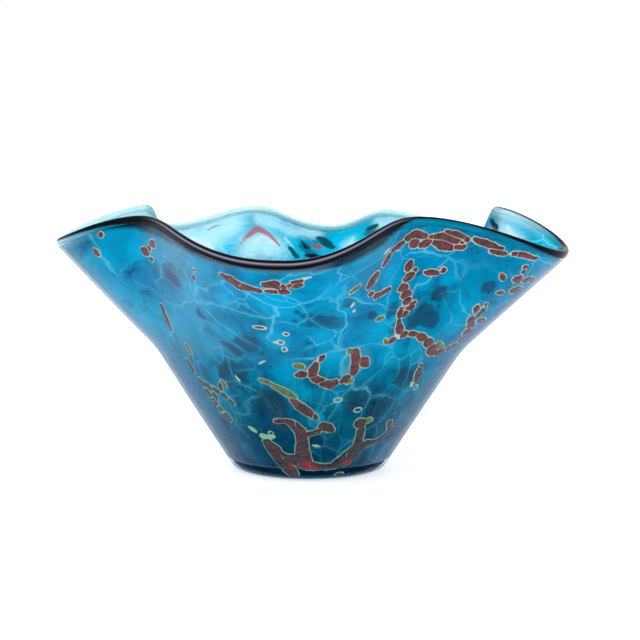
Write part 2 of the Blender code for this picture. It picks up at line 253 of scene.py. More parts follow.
class Nodes:
    """Short calls for building a material's nodes."""

    def __init__(self, name):
        self.material = bpy.data.materials.new(name)
        self.material.use_nodes = True
        self.tree = self.material.node_tree
        self.shader = self.tree.nodes["Principled BSDF"]

    def add(self, kind, inputs=None, **settings):
        node = self.tree.nodes.new(kind)
        for key, value in settings.items():
            setattr(node, key, value)
        for key, value in (inputs or {}).items():
            self.put(node.inputs[key], value)
        return node

    def put(self, socket, value):
        if isinstance(value, bpy.types.NodeSocket):
            self.tree.links.new(value, socket)
        else:
            socket.default_value = value

    def math(self, operation, a, b=0.0, clamp=False):
        node = self.add("ShaderNodeMath", operation=operation, use_clamp=clamp)
        self.put(node.inputs[0], a)
        self.put(node.inputs[1], b)
        return node.outputs[0]

    def ramp(self, value, low, high, to_low=0.0, to_high=1.0):
        node = self.add("ShaderNodeMapRange", interpolation_type="SMOOTHSTEP")
        self.put(node.inputs["Value"], value)
        self.put(node.inputs["From Min"], low)
        self.put(node.inputs["From Max"], high)
        self.put(node.inputs["To Min"], to_low)
        self.put(node.inputs["To Max"], to_high)
        return node.outputs[0]

    def mix(self, amount, a, b):
        node = self.add("ShaderNodeMix", data_type="RGBA")
        self.put(node.inputs[0], amount)
        self.put(node.inputs[6], a)
        self.put(node.inputs[7], b)
        return node.outputs[2]

    def noise(self, vector, scale, detail=3.0, rough=0.5, distortion=0.0, out="Fac"):
        inputs = {"Scale": scale, "Detail": detail, "Roughness": rough, "Distortion": distortion}
        node = self.add("ShaderNodeTexNoise", inputs)
        self.put(node.inputs["Vector"], vector)
        return node.outputs[out]

    def cell_edges(self, vector, scale):
        """Distance to the nearest edge in a pattern of cells."""
        node = self.add("ShaderNodeTexVoronoi", {"Scale": scale}, feature="DISTANCE_TO_EDGE")
        self.put(node.inputs["Vector"], vector)
        return node.outputs["Distance"]

    def shade(self, name, value):
        self.put(self.shader.inputs[name], value)

    def place(self):
        return self.add("ShaderNodeTexCoord").outputs["Object"]

    def height(self):
        return self.add("ShaderNodeSeparateXYZ", {0: self.place()}).outputs[2]

    def attribute(self, name, out="Fac"):
        return self.add("ShaderNodeAttribute", attribute_name=name).outputs[out]

    def ragged(self, name, edge, width=0.16):
        """A painted area with an uneven edge, from 0 to 1."""
        uneven = self.math("ADD", self.attribute(name), edge)
        return self.ramp(uneven, 0.5 - width / 2, 0.5 + width / 2)

    def vector_math(self, operation, a, b, out="Vector"):
        node = self.add("ShaderNodeVectorMath", operation=operation)
        self.put(node.inputs[0], a)
        self.put(node.inputs[1], b)
        return node.outputs[out]

    def spot(self, vector, centre, radius):
        """1 at a point on the wall, fading out at the radius in mm."""
        reach = self.vector_math("DISTANCE", vector, centre, "Value")
        return self.ramp(reach, radius * 0.0006, radius * 0.0011, 1.0, 0.0)

    def warp(self, vector, scale, amount):
        """A place shifted by noise, at most half the amount each way."""
        shift = self.noise(vector, scale, 2.0, 0.5, 0.0, "Color")
        centred = self.vector_math("SUBTRACT", shift, (0.5, 0.5, 0.5))
        scaled = self.vector_math("MULTIPLY", centred, (amount, amount, amount))
        return self.vector_math("ADD", vector, scaled)

    def layer(self, base, amount, strength, colour):
        """The base with a colour laid over it."""
        return self.mix(self.math("MULTIPLY", amount, strength), base, colour)


def srgb(red, green, blue):
    """Linear colour from 0-255 display values."""
    def linear(value):
        value = value / 255.0
        return value / 12.92 if value <= 0.04045 else ((value + 0.055) / 1.055) ** 2.4
    return (linear(red), linear(green), linear(blue), 1.0)


# Painted shadows in the glass's colour layer: azimuth, place along the wall in mm, radius in mm.
PAINTED_SHADOWS = [
    (-49, 93, 5.5), (-46, 90, 5), (-52, 90, 4), (-88, 101, 5), (-84, 98, 4.5), (-80, 97, 3.5),
    (-91, 105, 2.2), (-90, 112, 1.8), (-93, 108, 1.6), (-94, 102, 1.6), (-103, 96, 2.4), (-97, 93, 1.4),
    (-126, 98, 2.6), (-125, 96, 2.4), (-110, 84, 6), (-118, 78, 6), (-135, 114, 7), (-62, 96, 4),
    (-122, 62, 9), (-108, 48, 9), (-104, 36, 6), (-66, 50, 9), (-56, 44, 8), (-48, 58, 6),
    (-60, 86, 3), (-46, 104, 4), (-33, 112, 3.5), (-70, 96, 2.5), (-79, 108, 3.5),
]
# Bright clouds of painted light, where light from behind shines through the glass, in the same way.
PAINTED_GLOWS = [
    (-52, 109, 3.6), (-64, 113, 6), (-98, 114, 8), (-112, 111, 5), (-84, 118, 6), (-83, 73, 8),
    (-98, 66, 7), (-64, 84, 7), (-45, 112, 4), (-100, 88, 6), (-86, 88, 5), (-36, 88, 5),
    (62, 122, 13), (80, 120, 13), (98, 122, 14), (116, 124, 14), (134, 124, 13), (24, 124, 10),
    (-94, 54, 6), (-86, 38, 4), (-120, 90, 4), (-57, 72, 6), (-126, 110, 5), (-150, 122, 6),
]
# Redder places in the frit near the foot, in the same way.
RED_SPOTS = [(-90, 8.5, 3.6), (-63, 10, 3), (-101, 9, 1.8), (-84, 6.5, 1.6)]


def wall_spot(azimuth, along, depth=COLOUR_DEPTH):
    return tuple(float(value) for value in WALL.point(azimuth, along / 1000.0, depth))


def turquoise_material():
    """Clouded turquoise, darker below, with pale veins, dark wisps and the inner frit, and with painted
    shadows, painted light, painted highlights and painted shade along the rim.
    """
    n = Nodes("turquoise_glass_look")
    place = n.attribute("wall_place", "Vector")
    height = n.height()
    warped = n.warp(place, 26.0, 0.026)
    fine = n.warp(warped, 110.0, 0.006)
    cloud = n.noise(warped, 30.0, 4.0, 0.55)
    wisps = n.noise(fine, 120.0, 6.0, 0.68, 1.4)
    edge = n.math("MULTIPLY", n.math("SUBTRACT", wisps, 0.5), 1.1)
    low = n.ramp(height, 0.004, 0.078)
    base = n.mix(low, srgb(0, 74, 106), srgb(0, 168, 204))
    bright = n.mix(low, srgb(0, 112, 150), srgb(0, 204, 232))
    base = n.mix(n.ramp(cloud, 0.42, 0.66, 0.0, 0.8), base, bright)
    patch = n.noise(n.warp(place, 50.0, 0.02), 48.0, 3.0, 0.6, 0.6)
    deep = n.mix(low, srgb(6, 56, 84), srgb(22, 122, 158))
    base = n.mix(n.ramp(patch, 0.50, 0.64, 0.0, 0.78), base, deep)
    dim = n.mix(low, srgb(4, 50, 74), srgb(14, 110, 138))
    base = n.mix(n.ramp(wisps, 0.53, 0.63, 0.0, 0.6), base, dim)
    # Painted light from behind, laid over the glass colour as bright clouds.
    base = n.layer(base, n.ragged("glow", edge, 0.5), 0.75, srgb(0, 208, 242))
    # Painted shadows, laid over the glass colour as dark clouds.
    base = n.layer(base, n.ragged("painted_shadow", edge, 0.16), 0.85, srgb(50, 84, 106))
    threads = n.noise(n.warp(warped, 70.0, 0.012), 36.0, 3.0, 0.5, 0.8)
    threads = n.ramp(n.math("ABSOLUTE", n.math("SUBTRACT", threads, 0.5)), 0.0, 0.018, 1.0, 0.0)
    there = n.ramp(n.noise(place, 22.0, 2.0), 0.46, 0.56, 0.0, 0.75)
    base = n.mix(n.math("MULTIPLY", threads, there), base, n.mix(low, srgb(4, 44, 62), srgb(12, 84, 108)))
    lines = []
    for scale, strength in ((38.0, 1.0), (66.0, 0.7)):
        cells = n.cell_edges(fine, scale)
        where = n.ramp(n.noise(place, scale * 0.5, 2.0), 0.46, 0.61, 0.0, strength)
        where = n.math("MULTIPLY", where, n.ramp(height, 0.020, 0.075, 0.2, 1.0))
        glow = n.math("MULTIPLY", n.ramp(cells, 0.0, 0.16, 0.45, 0.0), where)
        base = n.mix(glow, base, srgb(0, 206, 240))
        lines.append(n.math("MULTIPLY", n.ramp(cells, 0.0, 0.030, 0.95, 0.0), where))
    base = n.mix(n.math("ADD", lines[0], lines[1], True), base, srgb(150, 236, 252))
    # Painted light from behind on the bowl's inner face, at the back and in the right curl.
    base = n.layer(base, n.ragged("inner_painted_backlight", edge, 0.9), 0.95, srgb(200, 245, 252))
    # Painted light: the top of the wall on the back side is painted near-white.
    base = n.mix(n.attribute("rim_painted_light"), base, srgb(214, 246, 250))
    # Painted highlights: soft white streaks on the bowl's inner face.
    base = n.mix(n.ragged("inner_painted_highlight", edge, 0.7), base, srgb(236, 252, 253))
    base = n.mix(n.ragged("inner_dark", edge, 0.3), base, srgb(6, 52, 58))
    base = n.layer(base, n.ragged("inner_rose", edge, 0.4), 0.95, srgb(222, 78, 92))
    # Painted shade along the rim: near-black, with a painted grey highlight band at the front valley.
    rim = n.mix(n.attribute("rim_painted_highlight"), srgb(2, 8, 16), srgb(88, 90, 112))
    base = n.mix(n.attribute("rim_painted_shade"), base, rim)
    n.shade("Base Color", base)
    thin = n.ramp(height, 0.010, 0.026, 0.35, 0.60)
    # The glass is less see-through under the painted shade.
    dark = n.math("MULTIPLY", n.attribute("rim_painted_shade"), 0.6)
    n.shade("Transmission Weight", n.math("SUBTRACT", thin, dark, True))
    n.shade("Roughness", n.ramp(cloud, 0.3, 0.7, 0.24, 0.36))
    n.shade("IOR", 1.06)
    return n.material


def casing_material():
    """Clear glass: straight see-through, with a grey sheen where it is seen edge-on."""
    n = Nodes("casing_glass_look")
    place = n.place()
    n.tree.nodes.remove(n.shader)
    tint = n.mix(n.noise(place, 60.0, 3.0), srgb(250, 254, 255), srgb(240, 250, 254))
    clear = n.add("ShaderNodeBsdfTransparent")
    n.put(clear.inputs["Color"], tint)
    smoke = n.mix(n.noise(place, 45.0, 4.0), srgb(126, 142, 162), srgb(156, 166, 184))
    sheen = n.add("ShaderNodeBsdfGlossy", {"Roughness": 0.3})
    n.put(sheen.inputs["Color"], smoke)
    fresnel = n.add("ShaderNodeFresnel", {"IOR": 1.5}).outputs[0]
    inside = n.add("ShaderNodeNewGeometry").outputs["Backfacing"]
    edge = n.math("MULTIPLY", n.math("SUBTRACT", fresnel, 0.055, True), 2.7, True)
    shine = n.math("MULTIPLY", edge, n.math("SUBTRACT", 1.0, inside), True)
    both = n.add("ShaderNodeMixShader")
    n.put(both.inputs[0], shine)
    n.put(both.inputs[1], clear.outputs[0])
    n.put(both.inputs[2], sheen.outputs[0])
    n.put(n.tree.nodes["Material Output"].inputs["Surface"], both.outputs[0])
    return n.material


def lip_material():
    """Painted shade: a near-black line along the near side and the right curl, with a painted highlight
    line on it, and painted light at the back.
    """
    n = Nodes("lip_glass_look")
    place = n.place()
    streak = n.noise(place, 90.0, 4.0)
    # Painted shade for the near side, and a painted highlight line laid along it.
    dark = n.mix(streak, srgb(1, 4, 8), srgb(4, 14, 24))
    dark = n.layer(dark, n.attribute("lip_painted_highlight"), 0.7, srgb(168, 164, 192))
    near = n.mix(streak, srgb(0, 128, 164), srgb(6, 162, 198))
    # Painted light for the back of the lip.
    pale = n.mix(streak, srgb(168, 232, 240), srgb(226, 248, 250))
    base = n.mix(n.attribute("back"), near, pale)
    base = n.mix(n.attribute("lip_painted_shade"), base, dark)
    n.shade("Base Color", base)
    # The lip is less see-through under the painted shade.
    n.shade("Transmission Weight", n.ramp(n.attribute("lip_painted_shade"), 0.0, 1.0, 0.6, 0.0))
    n.shade("Roughness", n.ramp(streak, 0.3, 0.7, 0.05, 0.12))
    n.shade("IOR", 1.12)
    n.shade("Specular IOR Level", 0.4)
    return n.material


def foot_material():
    """Deep teal with a wavy navy band and a lighter line at the table."""
    n = Nodes("foot_glass_look")
    place = n.place()
    height = n.height()
    swirl = n.noise(n.warp(place, 60.0, 0.01), 80.0, 4.0)
    side = n.mix(swirl, srgb(0, 74, 108), srgb(4, 92, 126))
    navy = n.mix(swirl, srgb(2, 30, 54), srgb(4, 44, 70))
    band = n.math("MULTIPLY", n.ramp(height, 0.0012, 0.0026), n.ramp(height, 0.0040, 0.0062, 1.0, 0.0))
    wave = n.ramp(n.noise(place, 24.0, 1.0), 0.36, 0.52, 0.35, 1.0)
    base = n.mix(n.math("MULTIPLY", band, wave), side, navy)
    base = n.mix(n.ramp(height, 0.0004, 0.0018, 0.7, 0.0), base, srgb(10, 122, 142))
    n.shade("Base Color", base)
    n.shade("Roughness", n.ramp(swirl, 0.3, 0.7, 0.2, 0.3))
    n.shade("Transmission Weight", 0.4)
    n.shade("IOR", 1.06)
    return n.material


def frit_finish(n, base, mottled, low, high):
    """The dull gloss that every kind of frit has."""
    n.shade("Base Color", base)
    n.shade("Roughness", n.ramp(mottled, 0.3, 0.7, low, high))
    n.shade("Specular IOR Level", 0.15)
    return n.material


def chip_material():
    """Maroon frit: slate to plum near the foot, brown to wine near the lip."""
    n = Nodes("maroon_frit_look")
    place = n.place()
    mottled = n.noise(n.warp(place, 200.0, 0.004), 420.0, 5.0, 0.6)
    height = n.height()
    patchy = n.ramp(mottled, 0.35, 0.65)
    tone = n.attribute("tone")
    brown = n.mix(patchy, srgb(66, 44, 46), srgb(96, 62, 60))
    wine = n.mix(patchy, srgb(90, 40, 48), srgb(126, 62, 72))
    upper = n.mix(tone, brown, wine)
    slate = n.mix(patchy, srgb(34, 40, 46), srgb(62, 54, 56))
    plum = n.mix(patchy, srgb(54, 36, 44), srgb(92, 48, 58))
    lower = n.mix(tone, slate, plum)
    base = n.mix(n.ramp(height, 0.010, 0.075), lower, upper)
    for azimuth, along, radius in RED_SPOTS:
        red = n.spot(n.warp(place, 200.0, 0.006), wall_spot(azimuth, along), radius)
        base = n.layer(base, red, 0.75, srgb(158, 30, 48))
    return frit_finish(n, base, mottled, 0.25, 0.45)


def olive_material(name, first, second):
    """Frit that is mottled between two colours."""
    n = Nodes(name)
    place = n.place()
    mottled = n.noise(n.warp(place, 200.0, 0.004), 380.0, 5.0, 0.6)
    base = n.mix(n.ramp(mottled, 0.35, 0.65), first, second)
    return frit_finish(n, base, mottled, 0.25, 0.45)


def halo_material():
    """The pale edge that melted frit leaves round itself, greener near the foot."""
    n = Nodes("chip_halo_look")
    place = n.place()
    mottled = n.noise(place, 300.0, 4.0, 0.6)
    height = n.height()
    upper = n.mix(mottled, srgb(176, 172, 158), srgb(206, 190, 170))
    lower = n.mix(mottled, srgb(104, 152, 132), srgb(152, 176, 138))
    base = n.mix(n.ramp(height, 0.02, 0.085), lower, upper)
    return frit_finish(n, base, mottled, 0.3, 0.5)


# ---------------------------------------------------------------- glass pieces

SHELL_TOP = WALL_LENGTH - LIP_HEIGHT
PATTERN_RADIUS = 0.075      # the radius at which the glass pattern has its true scale
INNER_FACE = 0.0045         # about how deep the bowl's inner face lies near the lip
# On this side the lip and the top of the wall carry painted light.
BACK = 100.0                # the azimuth in the middle of the side with the pale lip
LIP_STEPS = 16
EDGE_STEPS = 14
# How far the painted shade of the lip reaches down the wall, in mm, by azimuth.
DARK_REACH = [
    (-180, 1), (-165, 2), (-156, 4.4), (-148, 6), (-140, 8.4), (-130, 8.8), (-118, 7.4), (-105, 6.2),
    (-92, 6.6), (-82, 9.5), (-72, 9.5), (-66, 6), (-61, 2.6), (-55, 1.2), (-34, 1.2), (-22, 3.4),
    (-12, 4.6), (-2, 3), (10, 1.4), (30, 1.4), (45, 0), (180, 0),
]
# How much of the lip's section carries painted shade, in degrees either side of its crest, by azimuth.
DARK_LINE = [
    (-180, 34), (-168, 48), (-156, 74), (-148, 100), (-66, 100), (-58, 42), (-44, 36), (-32, 54),
    (-20, 84), (-8, 70), (4, 46), (30, 40), (48, 30), (56, -30), (172, -30), (178, 20), (180, 34),
]


def mark(item, name, values):
    """Stores one number for each of a piece's points, for its material to read."""
    layer = item.data.attributes.new(name, "FLOAT", "POINT")
    layer.data.foreach_set("value", np.asarray(values, np.float32))


def polar(item):
    """The azimuth in degrees of each of a piece's points, and the points."""
    places = np.empty(len(item.data.vertices) * 3, np.float32)
    item.data.vertices.foreach_get("co", places)
    places = places.reshape(-1, 3)
    return np.degrees(np.arctan2(places[:, 1], places[:, 0])), places


def painted(places, strokes, deep):
    """1 at the middle of each stroke's points, 0.5 at their radius, 0 at twice that."""
    value = np.zeros(len(places))
    for azimuth, along, radius in samples(strokes):
        middle = np.array(wall_spot(azimuth, along, deep))
        distance = np.linalg.norm(places - middle, axis=1) * 1000.0
        value = np.maximum(value, 1.0 - distance / (2.0 * radius))
    return value


def paint_areas(item, azimuth, along):
    """Marks where the painted shadows, painted light and highlights and the inner frit lie, and each
    point's place on the wall.
    """
    _, places = polar(item)
    angle = np.radians(azimuth)
    spread = PATTERN_RADIUS * np.clip(np.hypot(places[:, 0], places[:, 1]) / 0.02, 0.0, 1.0)
    flat = np.stack([spread * np.cos(angle), spread * np.sin(angle), along], -1)
    layer = item.data.attributes.new("wall_place", "FLOAT_VECTOR", "POINT")
    layer.data.foreach_set("vector", flat.astype(np.float32).ravel())
    for name, strokes, deep in (
        ("painted_shadow", [[spot] for spot in PAINTED_SHADOWS], COLOUR_DEPTH),
        ("glow", [[spot] for spot in PAINTED_GLOWS], COLOUR_DEPTH),
        ("inner_painted_backlight", INNER_PAINTED_BACKLIGHT, INNER_FACE),
        ("inner_rose", INNER_ROSE, INNER_FACE),
        ("inner_dark", INNER_DARK, INNER_FACE),
        ("inner_painted_highlight", INNER_PAINTED_HIGHLIGHTS, INNER_FACE),
    ):
        mark(item, name, painted(places, strokes, deep))


def build_gather():
    """The turquoise wall and floor."""
    base = FOOT_HEIGHT + SEAM
    floor = FOOT_HEIGHT + GAP + FLOOR_THICKNESS
    colour = even(COLOUR_DEPTH)
    outer_start = start_along(colour, base)
    outer = wall_rings(colour, outer_start, SHELL_TOP, WALL_ROWS)
    inner_start = start_along(inside_depth, floor)
    slope = math.radians(LOW_SLOPE)
    tangent = FLOOR_ROUND * math.tan(slope / 2)
    depth = inside_depth(inner_start)
    corner = FOOT_RADIUS + inner_start * math.cos(slope) - depth * math.sin(slope)
    bend = arc((corner - tangent, floor + FLOOR_ROUND), FLOOR_ROUND, -90, LOW_SLOPE - 90, 10)
    inner = wall_rings(inside_depth, inner_start + tangent * 1.15, SHELL_TOP, WALL_ROWS)
    flat = [(radius, floor) for radius in np.linspace(0.002, corner - tangent - 0.001, 10)]
    under = [(radius, base) for radius in np.linspace(outer[0][:, 0].max() - 0.001, 0.002, 10)]
    lead = round_rings(flat + bend)
    rings = lead + inner + outer[::-1] + round_rings(under)
    item = ring_mesh("look_inner_gather", rings, False, True)
    along = np.concatenate([
        np.zeros(len(lead)), np.linspace(inner_start, SHELL_TOP, WALL_ROWS),
        np.linspace(outer_start, SHELL_TOP, WALL_ROWS)[::-1], np.zeros(len(under)),
    ])
    along = np.append(np.repeat(along, AROUND), [0.0, 0.0])
    azimuth, _ = polar(item)
    # Painted shade down the wall from the lip on the near side.
    reach = read_table(DARK_REACH, azimuth)
    below_lip = (WALL_LENGTH - along) * 1000.0
    dark = np.clip((reach - below_lip) / 2.6 + 0.5, 0.0, 1.0)
    mark(item, "rim_painted_shade", np.where(reach > 0.1, dark, 0.0) * 0.95)
    # Painted light along the rim on the back side.
    behind = facing(azimuth, BACK, -0.25, 0.4)
    mark(item, "rim_painted_light", 0.85 * behind * smooth((7.5 - below_lip) / 4.5))
    # A painted grey highlight band under the lip at the front valley.
    mark(item, "rim_painted_highlight", facing(azimuth, -101.0, 0.95, 0.03))
    paint_areas(item, azimuth, along)
    return item


def build_casing():
    base = FOOT_HEIGHT + SEAM
    faces = []
    for depth in (even(0.0), even(COLOUR_DEPTH - SEAM)):
        faces.append(wall_rings(depth, start_along(depth, base), SHELL_TOP, WALL_ROWS))
    return ring_mesh("look_clear_casing", faces[0] + faces[1][::-1], True, False)


def build_lip():
    """The rounded bead that closes the layers at the top."""
    start = SHELL_TOP + SEAM
    thick = inside_depth(start)
    rings = []
    for step in range(LIP_STEPS + 1):
        angle = math.pi * step / LIP_STEPS
        depth = thick / 2 - thick / 2 * math.cos(angle)
        along = np.full(AROUND, start + LIP_HEIGHT * math.sin(angle))
        rings.append(WALL.point(AZIMUTHS, along, depth))
    item = ring_mesh("look_lip", rings, True, False)
    azimuth, _ = polar(item)
    turn = np.abs(np.repeat(np.arange(LIP_STEPS + 1), AROUND) * 180.0 / LIP_STEPS - 90.0)
    line = read_table(DARK_LINE, azimuth)
    # Painted shade over the part of the lip's section that DARK_LINE gives.
    mark(item, "lip_painted_shade", smooth((line - turn) / 16.0 + 0.5))
    # Painted light on the back of the lip.
    mark(item, "back", facing(azimuth, BACK, -0.25, 0.4))
    # A painted highlight line along the lip's crest, at the front only.
    front = facing(azimuth, -100.0, 0.72, 0.2)
    mark(item, "lip_painted_highlight", np.clip(1.3 - np.abs(90.0 - turn * 2.6) / 26.0, 0.0, 1.0) * front)
    return item


def foot_edge(depth):
    """The foot's rounded edge and short wall, as (radius, height) points.

    The skin thins out towards the table, so that the colour reaches the bottom line."""
    slope = math.radians(LOW_SLOPE)
    tangent = FOOT_EDGE_ROUND * math.tan(slope / 2)
    edge = []
    for step in range(EDGE_STEPS + 1):
        turn = LOW_SLOPE * step / EDGE_STEPS
        deep = depth * (0.1 + 0.9 * float(smooth(turn / 34.0)))
        reach = FOOT_EDGE_ROUND - deep
        out = FOOT_RADIUS - tangent + reach * math.sin(math.radians(turn))
        edge.append((out, FOOT_EDGE_ROUND - reach * math.cos(math.radians(turn))))
    along = start_along(even(depth), FOOT_HEIGHT)
    out = FOOT_RADIUS + along * math.cos(slope) - depth * math.sin(slope)
    return edge + [(out, FOOT_HEIGHT)]


def build_foot():
    """The foot's coloured body, under a clear skin as thin as the one on the wall."""
    edge = foot_edge(COLOUR_DEPTH)
    under = [(radius, edge[0][1]) for radius in np.linspace(0.002, edge[0][0] - 0.0005, 8)]
    top = [(radius, FOOT_HEIGHT) for radius in np.linspace(edge[-1][0] - 0.0005, 0.002, 8)]
    return ring_mesh("look_foot", round_rings(under + edge + top), False, True)


def build_foot_skin():
    """The clear glass round and under the foot."""
    outer = foot_edge(0.0)
    inner = foot_edge(COLOUR_DEPTH - SEAM)
    under = [(radius, 0.0) for radius in np.linspace(0.002, outer[0][0] - 0.0005, 8)]
    over = [(radius, inner[0][1]) for radius in np.linspace(inner[0][0] - 0.0005, 0.002, 8)]
    return ring_mesh("look_foot_skin", round_rings(under + outer + inner[::-1] + over), False, True)


# ---------------------------------------------------------------- frit

# Frit lies in branching trails. A stroke is a line of (azimuth in degrees, place along
# the wall in mm, half width in mm).
LIP_ROW = [
    [(-66, 126.5, 0.6), (-61.5, 129.4, 0.9)], [(-61, 130.2, 0.9), (-58, 132.2, 1.5), (-54.5, 131.4, 1)],
    [(-58.5, 127.6, 1.5), (-57, 128.6, 1.2)], [(-55.5, 127, 1.1), (-52.6, 129, 1)],
    [(-52.6, 131, 0.7), (-49, 131.6, 1.8), (-45, 130.8, 1.6)], [(-51.5, 128.8, 1.2), (-47, 127.6, 1.9)],
    [(-48.5, 134.2, 0.9), (-43.5, 132.4, 1.1)], [(-45.5, 128, 1), (-43.5, 129.2, 0.6)],
    [(-41.5, 133.4, 0.8), (-38.5, 132.8, 1.3), (-35.6, 132.3, 0.9)], [(-37.2, 130.6, 1), (-34.4, 131, 1.1)],
    [(-32.2, 132.2, 0.7), (-30, 133.2, 1), (-26.5, 133.6, 0.5)],
]
RIGHT_TIP = [
    [(-27.2, 127.6, 0.8)], [(-26.6, 125, 0.7)], [(-27, 120, 1.7), (-25.4, 120.4, 1.7)],
    [(-23.4, 120.4, 1.4), (-21.8, 121.2, 1.4)], [(-20.2, 121.6, 1)],
    [(-24.4, 113.4, 1.5), (-21.4, 114.4, 1.7)], [(-31.8, 120.4, 0.5), (-30.4, 118.2, 0.8)],
    [(-28.8, 110.3, 0.6), (-27.2, 110.8, 0.5)],
]
RIGHT_CHAIN = [
    [(-32.2, 101, 0.5), (-31.8, 98, 1.1)], [(-29.6, 103, 0.4), (-29, 98.5, 0.8), (-29.4, 95.5, 0.7)],
    [(-31, 94.2, 0.8), (-30.2, 91.4, 1.5)], [(-26.5, 93, 1.2), (-23.6, 92, 1.2)],
    [(-29.2, 91, 1.4), (-28.6, 88, 1.5)], [(-28.2, 86.8, 1.3), (-27, 83.2, 1.5)],
    [(-26.6, 81.8, 1.3), (-26.6, 78.6, 1.3)], [(-27.4, 76.4, 1.2), (-30.4, 73.8, 1.1)],
    [(-31.8, 72.8, 1), (-35.2, 71, 1.3)], [(-24.6, 86.6, 0.9), (-25.4, 84, 0.8)],
]
MIDDLE_CHAIN = [
    [(-59, 116, 1.3), (-58.2, 119, 1.4)], [(-56, 115.4, 0.7)],
    [(-59.4, 110.8, 0.9), (-56.6, 113.4, 1.1)], [(-60.6, 106.4, 1), (-58.4, 107.2, 1.5)],
    [(-59, 103, 1.5), (-57, 103.8, 1.6)], [(-57.6, 99.8, 1.4), (-56.2, 101.2, 0.8)],
    [(-56, 96, 0.8), (-54, 97.4, 0.7)], [(-55.4, 98.4, 0.5), (-53.8, 99.6, 0.5)],
    [(-58.8, 95.8, 1.1), (-58.6, 92.6, 1)], [(-57, 92.8, 0.9), (-56.2, 94.6, 0.7)],
    [(-58.4, 90, 0.6), (-57.4, 86.4, 1.5), (-56.4, 83.2, 1.9)],
    [(-57, 82.4, 1.3), (-53.6, 82.8, 1.4)], [(-52.6, 82.8, 1), (-49.4, 82.4, 1.1)],
    [(-48.4, 81.8, 1.1), (-44.8, 79.8, 1.5)], [(-43.6, 78.8, 1.4), (-41, 76.4, 1.9)],
    [(-40, 75.2, 1.9), (-37.6, 71.6, 2.1)],
    [(-59.4, 79, 1), (-58.2, 80.6, 0.9)], [(-52.4, 114.2, 0.5), (-49, 114.4, 0.8)], [(-47.2, 116.2, 0.9)],
    [(-40.4, 64, 0.9), (-40, 60, 1.6), (-39.4, 56.6, 1)],
]
OPEN_RING = [
    [(-68.8, 121.2, 0.8), (-66.8, 124.8, 0.8)], [(-73.2, 112.6, 1.3), (-71, 117.6, 1.5)],
    [(-71.9, 108.2, 0.9)], [(-70, 106, 1), (-67.6, 106.4, 0.8), (-65, 107.8, 0.5)],
]
FRONT_LIP = [
    [(-110.4, 127.6, 0.6), (-108, 125.6, 1.9), (-106.6, 123.4, 2),
     (-104.4, 122.8, 1.5), (-101.6, 121.8, 0.7)],
    [(-100, 126, 1), (-97.6, 126.6, 2), (-96.8, 124.6, 1)],
    [(-96.4, 124.9, 1), (-95.6, 125, 0.9)],
    [(-99.8, 122.2, 0.7), (-97.6, 121.6, 0.7)], [(-96.6, 122, 0.9), (-95, 121.6, 1)],
    [(-94.6, 125.6, 0.6), (-94, 125.9, 0.6)], [(-93.6, 125, 0.9), (-91.8, 125.8, 0.8)],
    [(-93.6, 127.6, 0.7), (-91.6, 128.4, 0.7)],
]
LEFT_LOBE = [
    [(-146.8, 123.8, 1.2), (-145, 122.4, 1.5)], [(-141.8, 126.8, 1.3), (-140.4, 128, 1.1)],
    [(-143.6, 119.6, 0.6)], [(-162.6, 126, 0.9), (-162.8, 128, 0.9)], [(-158.7, 134.5, 0.8)],
    [(-143.4, 124.8, 0.9)],
]
STREAK = [
    [(-146.6, 96, 0.5), (-147, 90, 0.8), (-147.6, 82, 0.5)],
    [(-120.4, 123.4, 0.5)], [(-122, 117.6, 0.7), (-121.6, 119.4, 0.6)],
]
CENTRE_CURVE = [
    [(-94.4, 65, 0.9), (-91.2, 65.6, 1.3)], [(-88.8, 65.2, 1.9), (-88.4, 68.6, 1.7), (-87.4, 72, 0.8)],
    [(-86.4, 73.4, 0.7), (-85.2, 76.2, 0.8)], [(-88.8, 62.6, 0.9), (-84.8, 61.2, 1.4)],
    [(-84.4, 59.6, 1.5), (-81.4, 58.4, 1.9), (-79.6, 59.8, 1.2)], [(-77.2, 60, 1), (-74.6, 61.8, 1.2)],
    [(-72.4, 64.6, 1.5), (-72.2, 69.8, 1.8), (-73.6, 76.2, 1.6)], [(-69.6, 70.6, 1.7), (-67.6, 67.6, 1.5)],
]
SLANTED_TRAIL = [
    [(-96.8, 49.6, 1), (-94, 46.2, 1.9), (-91.6, 43.4, 1.8), (-87, 39.2, 0.9)],
    [(-96.2, 51.2, 0.8)],
]
FOOT_TREE = [
    [(-106, 36.4, 0.7), (-101, 37, 0.9), (-97, 34.4, 1.8), (-94.4, 30.2, 2.2), (-93.6, 24, 2.3),
     (-94, 17, 3), (-92.4, 10.6, 3.2)],
    [(-93.4, 28.2, 1.1), (-89, 29.2, 0.8), (-85.4, 30.6, 0.9)],
    [(-82.8, 33.6, 2), (-80, 32.2, 1.9), (-78.2, 31, 0.9)],
    [(-114.4, 22.6, 1.7), (-112, 19, 3), (-108.6, 13, 3.4), (-105, 7.6, 2.9), (-101.6, 2.8, 2.2)],
    [(-107, 13, 2.2), (-101, 12.6, 2.6), (-94.6, 11, 3)],
    [(-92, 9, 2.6), (-86, 8.2, 1.9), (-80, 7.4, 1.2), (-74, 7.8, 1.4), (-70, 10, 2.8),
     (-66, 11.6, 3.8), (-62.6, 14.6, 3.9), (-60.6, 19, 2.4), (-61, 25, 1.7), (-62, 29.6, 1.7)],
    [(-64.2, 33.6, 2.1), (-63.4, 34.4, 2.1)],
    [(-60, 17.6, 2.4), (-55, 20.4, 1.9), (-50.4, 20.8, 0.9), (-45.4, 22.4, 0.6), (-41.6, 25.4, 0.8),
     (-41.4, 29, 1.3), (-44, 32, 1.2)],
    [(-69, 1.6, 0.7), (-65, 2, 0.7)],
]
